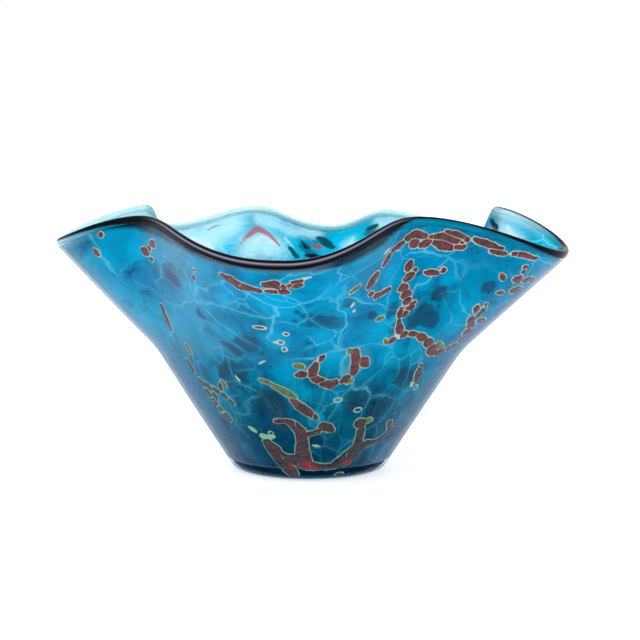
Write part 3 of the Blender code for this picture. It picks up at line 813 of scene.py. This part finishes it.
FAR_TRAILS = [
    [(92, 122, 0.9), (89, 118, 1.6), (86, 112, 1.4), (84, 107, 0.9)], [(86, 112, 1.2), (82, 114, 1)],
    [(32, 120, 1), (28, 114, 1.9), (24, 108, 1.3)], [(22, 112, 1.2)],
    [(158, 98, 1), (153, 92, 1.9), (149, 85, 1.6), (146, 76, 1)], [(149, 85, 1.2), (142, 86, 0.9)],
    [(60, 80, 1), (65, 75, 1.9), (71, 69, 1.5), (74, 60, 1)], [(65, 75, 1.3), (60, 68, 0.9)],
    [(80, 30, 1.4), (86, 24, 2.4), (92, 16, 2.9), (98, 10, 2.2), (106, 8, 1.4), (114, 12, 2)],
    [(86, 24, 1.6), (78, 20, 1.2), (70, 22, 1)], [(100, 36, 1.3), (96, 30, 1.5)],
    [(178, 40, 1), (172, 34, 2), (168, 26, 1.6)], [(10, 52, 1), (16, 46, 1.8), (20, 38, 1.4)],
    [(125, 56, 1.4), (131, 50, 1.9), (137, 48, 1.1)], [(40, 100, 1.3), (44, 97, 1)],
    [(84, 98, 1.8), (88, 96, 1.2)], [(70, 126, 1.5), (74, 128, 1.1)], [(130, 126, 1.6), (134, 124, 1)],
    [(-176, 70, 0.9), (-172, 64, 1.6), (-168, 60, 1)], [(178, 118, 1.5), (174, 114, 1.1)],
    [(5, 96, 1.4), (8, 92, 1)], [(-8, 66, 1), (-3, 60, 1.7), (2, 58, 1)],
]
# Small dark cells with pale outlines, low on the left.
LEFT_CELLS = [
    [(-143.2, 56, 0.6), (-141.8, 52.6, 0.9)], [(-141.6, 50.6, 0.9), (-140.2, 47.4, 1.1)],
    [(-139.8, 54.4, 0.6), (-137.6, 51, 0.9)], [(-139.4, 45.4, 1), (-138, 42.6, 0.9)],
    [(-137, 49.2, 0.9), (-136.6, 46, 0.8)], [(-137.4, 41.4, 0.8), (-136.4, 38.8, 1)],
    [(-135.6, 52, 0.7), (-132.6, 50.6, 0.8)], [(-131.6, 50, 0.6), (-128.8, 48, 0.8)],
    [(-128, 47.2, 0.6), (-126.4, 45, 0.5)], [(-130.6, 52.6, 0.6), (-130.2, 55, 0.6)],
    [(-136, 37.6, 1.2), (-133.8, 34.4, 1.7)], [(-147, 66, 0.4), (-145.4, 60, 0.5)],
]
OLIVE = [
    [(-109.4, 61, 0.6), (-104.6, 59, 0.7)], [(-103.6, 57.4, 1.1), (-99.6, 54.6, 1.6), (-96, 51.8, 1)],
    [(-94.6, 70.6, 1.3), (-92.4, 70.2, 1.2)], [(-74.8, 58.8, 0.7), (-72.6, 60, 0.7)],
    [(-60, 35.2, 1), (-58.2, 35.6, 1.2)], [(-143, 74.6, 0.8), (-142.4, 70.6, 1.3)],
    [(-128.4, 57, 0.9), (-127.2, 55, 1)], [(-79.2, 113.4, 0.6), (-76.8, 115, 0.8)],
    [(-76.2, 78.2, 0.8), (-75.2, 76.4, 0.6)], [(-37.4, 77, 1.2), (-34.4, 74.4, 1.3)],
    [(-67.4, 92.6, 0.5), (-65.6, 93.2, 0.7)], [(90, 40, 1), (94, 36, 1.3)], [(50, 60, 1.2), (46, 56, 1)],
    [(160, 60, 1), (164, 56, 1.3)], [(-62, 80.4, 0.5), (-61, 78.6, 0.6)],
]
PALE = [
    [(-116, 26.4, 1.4), (-112.6, 25.6, 1.5), (-109.6, 26.4, 0.9)],
    [(-122.4, 31.2, 0.6), (-119.2, 28.8, 0.9)], [(-120, 61.6, 0.3), (-118.8, 59, 0.4)],
    [(-108, 70.8, 0.2), (-105.6, 73, 0.3)], [(-100.6, 87.2, 0.5), (-99.6, 86.6, 0.5)],
    [(-78.2, 104.6, 0.4), (-77.6, 106.4, 0.5)], [(-77, 101.6, 0.6)], [(-41.4, 55, 0.6), (-40.4, 53, 0.7)],
    [(-84, 20.8, 0.4), (-87.6, 21.4, 0.6)], [(-69.2, 126.6, 0.4), (-67.4, 128.2, 0.3)],
    [(-92.8, 129.2, 0.4), (-89.6, 130, 0.3)], [(-33, 131.4, 0.3), (-29, 135, 0.3)],
]
# Round bubbles with a pale rim: azimuth, place along the wall, half length, half width.
RINGS = [
    (-77.5, 49.2, 1.9, 1.3), (-67, 42.4, 2, 1.4), (-97.8, 82, 1.2, 1.8), (-104, 96.6, 3.2, 1.2),
    (-96.6, 93, 1.4, 1.2), (-37.2, 52, 1.5, 1.3), (-110.4, 28.6, 1.3, 1.1), (-98.6, 87, 1.6, 1.6),
    (72, 50, 1.8, 1.4), (118, 70, 1.6, 1.3), (20, 64, 1.5, 1.3), (166, 46, 1.7, 1.3), (95, 84, 1.5, 1.4),
]
# On the bowl's inner face, at the back and in the right curl.
INNER_ROSE = [
    [(112, 116, 0.7), (109, 121, 1.3), (105.5, 125.5, 1.7), (102, 122, 1.3), (99, 116, 0.8)],
    [(88.4, 121.4, 1.5), (86.6, 121.2, 1.2)], [(118, 131, 0.6), (115, 132, 0.5)],
    [(66, 124, 1.2), (64, 125, 0.8)], [(18, 128, 1.2), (14, 124, 1.6), (10, 118, 1.2)],
    [(26, 131, 1.3), (22, 126, 0.9)], [(6, 128, 1.6), (3, 122, 1.1)],
]
# Painted light from behind.
INNER_PAINTED_BACKLIGHT = [
    [(150, 128, 7), (138, 127, 9), (122, 126, 10), (112, 130, 7)],
    [(108, 116, 8), (101, 115, 8)],
    [(104, 131, 3.4), (96, 129, 3.6), (88, 131, 3)], [(79, 122, 4), (78, 114, 4)], [(160, 130, 7)],
    [(70, 131, 3.4), (62, 129, 4)], [(16, 128, 6), (8, 124, 6)],
]
INNER_DARK = [
    [(87.4, 128, 1.8), (85.4, 125, 2.6), (83.4, 121, 1.8)], [(90.4, 114, 2), (86.6, 113, 2.4)],
    [(95.6, 116, 1.6), (94, 112, 2)], [(92, 123, 1.3), (90.6, 120, 1.7)],
    [(73.4, 128, 1), (70.6, 129, 1.4)],
    [(21, 132, 1.2), (17, 129, 1.7)], [(8, 124, 1.5), (5, 118, 1.4)],
]
# Painted highlights.
INNER_PAINTED_HIGHLIGHTS = [
    [(123, 127, 1.4), (120, 123, 2), (119, 118, 1.4)], [(107, 118, 1.4), (104, 120, 1.8), (101, 117, 1.2)],
    [(78, 126, 0.9), (77.4, 120, 1.1), (78, 114, 0.9)], [(13, 131, 1.5), (9, 127, 1.8), (5, 121, 1.2)],
    [(97, 122, 1), (95, 118, 0.8)], [(135, 128, 1.6), (131, 124, 1.4)],
]
FRIT_STEP = 0.28            # mm between points of a frit sheet
HALO_WIDTH = 0.5
CHIP_SPREAD = 0.5           # mm that the melt adds all round
CRACK_SPACING = 7.0
LINE_HALF = 0.20            # half the width of the pale lines between chips, mm
CHIP_BED = 0.93             # depths in mm, below the outer face
CHIP_TOP = 0.30
HALO_BED = 1.06
HALO_TOP = 0.95
DOME = 0.45                 # how fast a chip's top rises from its edge, mm
BORDER = 2.2                # empty wall kept round a field, mm
UNSET = 99.0                # farther than any stroke, mm
SAMPLE_STEP = 0.3
DEGREE_LENGTH = 1.6         # about one degree round the upper wall, mm
TONES = 997


def surface(azimuth, along, depth):
    """A point in the wall, following the foot's rounded edge below the wall. All in mm."""
    point = WALL.point(azimuth, np.maximum(along, 0.0) / 1000.0, depth / 1000.0)
    slope = math.radians(LOW_SLOPE)
    tangent = FOOT_EDGE_ROUND * math.tan(slope / 2) * 1000.0
    radius = FOOT_EDGE_ROUND * 1000.0
    turn = np.maximum(slope - np.maximum(tangent - along, 0.0) / radius, 0.05)
    out = FOOT_RADIUS * 1000.0 - tangent + (radius - depth) * np.sin(turn)
    height = radius - (radius - depth) * np.cos(turn)
    angle = np.radians(azimuth)
    bent = np.stack([out * np.cos(angle), out * np.sin(angle), height], -1) / 1000.0
    return np.where((along < tangent)[..., None], bent, point)


def samples(strokes):
    """Points close together along every stroke."""
    found = []
    for stroke in strokes:
        found.append(stroke[0])
        for (azimuth, along, half), (azimuth_2, along_2, half_2) in zip(stroke, stroke[1:]):
            length = math.hypot((azimuth_2 - azimuth) * DEGREE_LENGTH, along_2 - along)
            count = max(2, int(length / SAMPLE_STEP))
            for step in range(1, count + 1):
                share = step / count
                found.append((
                    azimuth + (azimuth_2 - azimuth) * share, along + (along_2 - along) * share,
                    half + (half_2 - half) * share,
                ))
    return np.array(found)


def ring_strokes(rings):
    """A thin closed stroke for each bubble's rim."""
    strokes = []
    for azimuth, along, half_length, half_width in rings:
        radius = float(WALL.look_up(WALL.radius, azimuth, along / 1000.0)) * 1000.0
        stroke = []
        for step in range(17):
            angle = math.tau * step / 16
            turned = math.degrees(half_length * math.cos(angle) / radius)
            stroke.append((azimuth + turned, along + half_width * math.sin(angle), 0.10))
        strokes.append(stroke)
    return strokes


def lens(stroke):
    """A two-point stroke made fuller in the middle and slimmer at its ends."""
    (azimuth, along, half), (azimuth_2, along_2, half_2) = stroke
    middle = ((azimuth + azimuth_2) / 2, (along + along_2) / 2, 1.2 * max(half, half_2))
    return [(azimuth, along, 0.72 * half), middle, (azimuth_2, along_2, 0.72 * half_2)]


class FritField:
    """Distance in mm to the edge of a group of strokes, on a grid over the wall."""

    def __init__(self, strokes, seed, spread=CHIP_SPREAD, uneven=1.0):
        azimuth, along, half = samples(strokes).T
        radius = WALL.look_up(WALL.radius, azimuth, along / 1000.0) * 1000.0
        margin = half.max() + BORDER
        turn = math.degrees(margin / radius.min())
        middle = float(radius.mean())
        width = math.radians(azimuth.max() - azimuth.min() + 2 * turn) * middle
        tall = along.max() - along.min() + 2 * margin
        columns = int(width / FRIT_STEP) + 2
        rows = int(tall / FRIT_STEP) + 2
        across = np.linspace(azimuth.min() - turn, azimuth.max() + turn, columns)
        up = np.linspace(along.min() - margin, along.max() + margin, rows)
        self.azimuth, self.along = np.meshgrid(across, up, indexing="ij")
        self.value = np.full(self.azimuth.shape, UNSET)
        self.second = np.full(self.azimuth.shape, UNSET)
        self.owner = np.zeros(self.azimuth.shape, int)
        for number, stroke in enumerate(strokes):
            self.add(stroke, number)
        self.between = (self.second - self.value) / 2
        self.spot = surface(self.azimuth, self.along, np.zeros_like(self.along)) * 1000.0
        self.value -= spread
        self.rough(seed, uneven)
        self.seed = seed

    def add(self, stroke, number):
        """Takes in one stroke, keeping the two nearest strokes' distances."""
        points = samples([lens(stroke) if len(stroke) == 2 else stroke])
        radius = WALL.look_up(WALL.radius, points[:, 0], points[:, 1] / 1000.0) * 1000.0
        distance = np.full(self.azimuth.shape, UNSET)
        for (azimuth, along, half), reach in zip(points, radius):
            aside = np.radians(self.azimuth - azimuth) * reach
            distance = np.minimum(distance, np.hypot(aside, self.along - along) - half)
        closer = distance < self.value
        self.second = np.where(closer, self.value, np.minimum(self.second, distance))
        self.value = np.where(closer, distance, self.value)
        self.owner[closer] = number

    def rough(self, seed, uneven):
        """Makes the outline uneven, as melted frit is."""
        near = np.abs(self.value) < 2.6
        places = self.spot[near]
        change = np.empty(len(places))
        for index, place in enumerate(places):
            shift = Vector(place) + Vector((seed * 7.3, 0.0, 0.0))
            change[index] = 0.50 * noise.noise(shift * 0.38) + 0.26 * noise.noise(shift * 1.05)
        self.value[near] += change * uneven

    def chips(self, parted):
        """The trail parted into chips by thin pale lines, and a tone for each chip."""
        rng = np.random.default_rng(self.seed)
        middle = math.radians(1.0) * float(np.hypot(self.spot[..., 0], self.spot[..., 1]).mean())
        low = np.array([self.azimuth.min() * middle, self.along.min()])
        high = np.array([self.azimuth.max() * middle, self.along.max()])
        counts = np.maximum(((high - low) / CRACK_SPACING).astype(int), 1)
        nearest = np.full(self.value.shape, 1e6)
        second = np.full(self.value.shape, 1e6)
        cell = np.zeros(self.value.shape, int)
        for column in range(counts[0] + 1):
            for row in range(counts[1] + 1):
                place = low + (np.array([column, row]) + rng.uniform(0.1, 0.9, 2)) * CRACK_SPACING
                distance = np.hypot(self.azimuth * middle - place[0], self.along - place[1])
                closer = distance < nearest
                second = np.where(closer, nearest, np.minimum(second, distance))
                nearest = np.where(closer, distance, nearest)
                cell[closer] = column * 40 + row
        wave = np.sin(self.azimuth * 0.9 + self.seed) * np.sin(self.along * 0.45 + self.seed * 2.0)
        value = np.maximum(self.value, 0.04 + 0.16 * wave - (second - nearest) / 2)
        which = cell * 7 + (self.owner * 131 if parted else 0)
        tones = rng.uniform(0.0, 1.0, TONES)
        if parted:
            value = np.maximum(value, LINE_HALF + 0.06 * wave - self.between)
        return value, tones[which % TONES]


def cut_cells(value):
    """Faces of the grid's cells where the value is below 0, and the points they use."""
    keys = {}
    points = []
    faces = []

    def point(key, place, weight):
        if key not in keys:
            keys[key] = len(points)
            points.append((place, weight))
        return keys[key]

    inside = value < 0
    busy = inside[:-1, :-1] | inside[1:, :-1] | inside[1:, 1:] | inside[:-1, 1:]
    for column, row in np.argwhere(busy):
        corners = [(column, row), (column + 1, row), (column + 1, row + 1), (column, row + 1)]
        face = []
        for here, after in zip(corners, corners[1:] + corners[:1]):
            if inside[here]:
                face.append(point(here, here, None))
            if inside[here] != inside[after]:
                first, last = sorted((here, after))
                share = float(np.clip(value[first] / (value[first] - value[last]), 0.1, 0.9))
                face.append(point((first, last), (first, last), share))
        if len(face) >= 3:
            faces.append(face)
    return points, faces


def frit_sheet(name, field, value, top, bed, tone=None):
    """A thin domed sheet of glass over the part of a field where the value is below 0."""
    azimuth = field.azimuth
    along = field.along
    marks, faces = cut_cells(value)
    azimuths = np.empty(len(marks))
    alongs = np.empty(len(marks))
    depths = np.empty(len(marks))
    for index, (place, share) in enumerate(marks):
        if share is None:
            azimuths[index] = azimuth[place]
            alongs[index] = along[place]
            rise = 1.0 - math.exp(value[place] / DOME)
        else:
            first, last = place
            azimuths[index] = azimuth[first] * (1 - share) + azimuth[last] * share
            alongs[index] = along[first] * (1 - share) + along[last] * share
            rise = 0.0
        depths[index] = bed - (bed - top) * (0.25 + 0.75 * max(rise, 0.0))
    upper = surface(azimuths, alongs, depths)
    lower = surface(azimuths, alongs, np.full(len(marks), bed))
    count = len(marks)
    edges = {}
    for face in faces:
        for first, last in zip(face, face[1:] + face[:1]):
            edges[(first, last)] = edges.get((first, last), 0) + 1
    shell = [tuple(face) for face in faces]
    shell += [tuple(index + count for index in reversed(face)) for face in faces]
    for first, last in edges:
        if (last, first) not in edges:
            shell.append((last, first, first + count, last + count))
    mesh = bpy.data.meshes.new(name)
    points = [tuple(map(float, point)) for point in np.concatenate([upper, lower])]
    mesh.from_pydata(points, [], shell)
    mesh.validate()
    mesh.shade_smooth()
    item = add_object(name, mesh)
    face_outward(item)
    if tone is not None:
        tones = [tone[place if share is None else place[0]] for place, share in marks]
        mark(item, "tone", tones + tones)
    return item


def add_halo(name, field):
    """The pale glass round and under a piece of frit."""
    wide = field.value - HALO_WIDTH
    halo = frit_sheet("look_" + name + "_halo", field, wide, HALO_TOP, HALO_BED)
    finish_piece(halo, HALO, [])


def frit_group(name, strokes, seed, numbers, parted=True, material=None):
    """A trail of chips and its halo, which stand in for some of the CAD part's chips."""
    field = FritField(strokes, seed)
    value, tone = field.chips(parted)
    chips = frit_sheet("look_" + name, field, value, CHIP_TOP, CHIP_BED, tone)
    nodes = [f"frit_chip_{number:02d}" for number in numbers]
    finish_piece(chips, material or MAROON, nodes)
    add_halo(name, field)


def plain_frit(name, strokes, seed, material, halo):
    """Frit in one piece, in another colour."""
    for index, part in enumerate(nearby(strokes)):
        field = FritField(part, seed + index, 0.28, 1.0 if halo else 0.4)
        tag = f"{name}_{index + 1:02d}"
        top, bed = (CHIP_TOP, CHIP_BED) if halo else (HALO_TOP, HALO_BED)
        item = frit_sheet("look_" + tag, field, field.value, top, bed, 0.0 * field.value)
        finish_piece(item, material, [])
        if halo:
            add_halo(tag, field)


def nearby(strokes):
    """Groups strokes that lie close together, so that no sheet spans empty wall."""
    groups = []
    for stroke in strokes:
        places = [(azimuth, along) for azimuth, along, _ in stroke]
        for group in groups:
            if any(abs(a - c) < 10 and abs(b - d) < 12 for a, b in places for c, d in group[1]):
                group[0].append(stroke)
                group[1].extend(places)
                break
        else:
            groups.append(([stroke], places))
    return [group[0] for group in groups]


def finish_piece(item, material, nodes):
    """Gives a piece its material and body, and hides the CAD nodes that it replaces."""
    item.data.materials.append(material)
    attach(item, "root")
    if nodes:
        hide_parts(*nodes)


def build_frit():
    frit_group("lip_row", LIP_ROW, 1, range(1, 10))
    frit_group("right_tip", RIGHT_TIP, 2, range(10, 13))
    frit_group("right_chain", RIGHT_CHAIN, 3, range(13, 16))
    frit_group("middle_chain", MIDDLE_CHAIN, 4, range(16, 23))
    frit_group("open_ring", OPEN_RING, 5, range(23, 25))
    frit_group("front_lip", FRONT_LIP, 6, range(25, 28))
    frit_group("left_lobe", LEFT_LOBE, 7, range(28, 30))
    frit_group("centre_curve", CENTRE_CURVE, 8, range(30, 35))
    frit_group("slanted_trail", SLANTED_TRAIL, 9, range(35, 38))
    frit_group("foot_tree", FOOT_TREE, 10, range(38, 45), False)
    frit_group("left_cells", LEFT_CELLS, 11, (), True, DARK_FRIT)
    far = nearby(FAR_TRAILS)
    owned = {0: range(45, 48), 1: range(48, 50), 2: range(50, 52), 3: range(52, 54)}
    for index, part in enumerate(far):
        frit_group(f"far_trail_{index + 1:02d}", part, 20 + index, owned.get(index, ()))
    plain_frit("streak", STREAK, 40, MAROON, True)
    plain_frit("olive", OLIVE, 60, OLIVE_FRIT, True)
    plain_frit("pale", PALE, 80, HALO, False)
    plain_frit("bubble", ring_strokes(RINGS), 100, HALO, False)


CAMERA_PLACE = (0.0, -1.095, 0.213)
CAMERA_PITCH = 7.37         # degrees below level
CAMERA_SHIFT = 0.0172
LENS = 128.8
FLOOR_SIZE = 3.0            # half its width, in metres
SOFTBOX_PLACE = (-0.6, -0.9, 1.3)
SOFTBOX_AIM = (0.0, 0.0, 0.08)


def camera():
    data = bpy.data.cameras.new("camera")
    item = add_object("camera", data)
    data.sensor_width = 36.0
    data.lens = LENS
    data.clip_end = 20.0
    item.location = CAMERA_PLACE
    item.rotation_euler = (math.radians(90.0 - CAMERA_PITCH), 0.0, 0.0)
    data.shift_x = CAMERA_SHIFT
    bpy.context.scene.camera = item


def stage():
    """A plain pale floor in plain white light."""
    mesh = bpy.data.meshes.new("floor")
    sides = ((-1, -1), (1, -1), (1, 1), (-1, 1))
    corners = [(across * FLOOR_SIZE, along * FLOOR_SIZE, 0) for across, along in sides]
    mesh.from_pydata(corners, [], [(0, 1, 2, 3)])
    floor = add_object("floor", mesh)
    floor.location.z = -0.0005
    n = Nodes("floor")
    n.shade("Base Color", (0.9, 0.9, 0.9, 1.0))
    n.shade("Roughness", 0.6)
    n.shade("Emission Color", (1, 1, 1, 1))
    n.shade("Emission Strength", 0.55)
    mesh.materials.append(n.material)
    world = bpy.data.worlds.new("world")
    bpy.context.scene.world = world
    world.use_nodes = True
    background = world.node_tree.nodes["Background"]
    background.inputs[0].default_value = (1, 1, 1, 1)
    background.inputs[1].default_value = 1.0


def softbox():
    """One soft light from the left, above and in front."""
    data = bpy.data.lights.new("softbox", "AREA")
    data.shape = "RECTANGLE"
    data.size = 0.9
    data.size_y = 0.5
    data.energy = 4.0
    item = add_object("softbox", data)
    item.location = SOFTBOX_PLACE
    aim = Vector(SOFTBOX_AIM) - Vector(SOFTBOX_PLACE)
    item.rotation_euler = aim.to_track_quat("-Z", "Y").to_euler()


MAROON = chip_material()
OLIVE_FRIT = olive_material("olive_frit_look", srgb(54, 96, 78), srgb(102, 112, 62))
DARK_FRIT = olive_material("dark_frit_look", srgb(16, 66, 84), srgb(66, 70, 66))
HALO = halo_material()
CLEAR = casing_material()
finish_piece(build_gather(), turquoise_material(), ["inner_gather"])
finish_piece(build_casing(), CLEAR, ["clear_casing"])
finish_piece(build_lip(), lip_material(), ["lip"])
finish_piece(build_foot(), foot_material(), ["foot"])
finish_piece(build_foot_skin(), CLEAR, ["foot"])
build_frit()
camera()
stage()
softbox()
bpy.context.scene.view_settings.view_transform = "Standard"
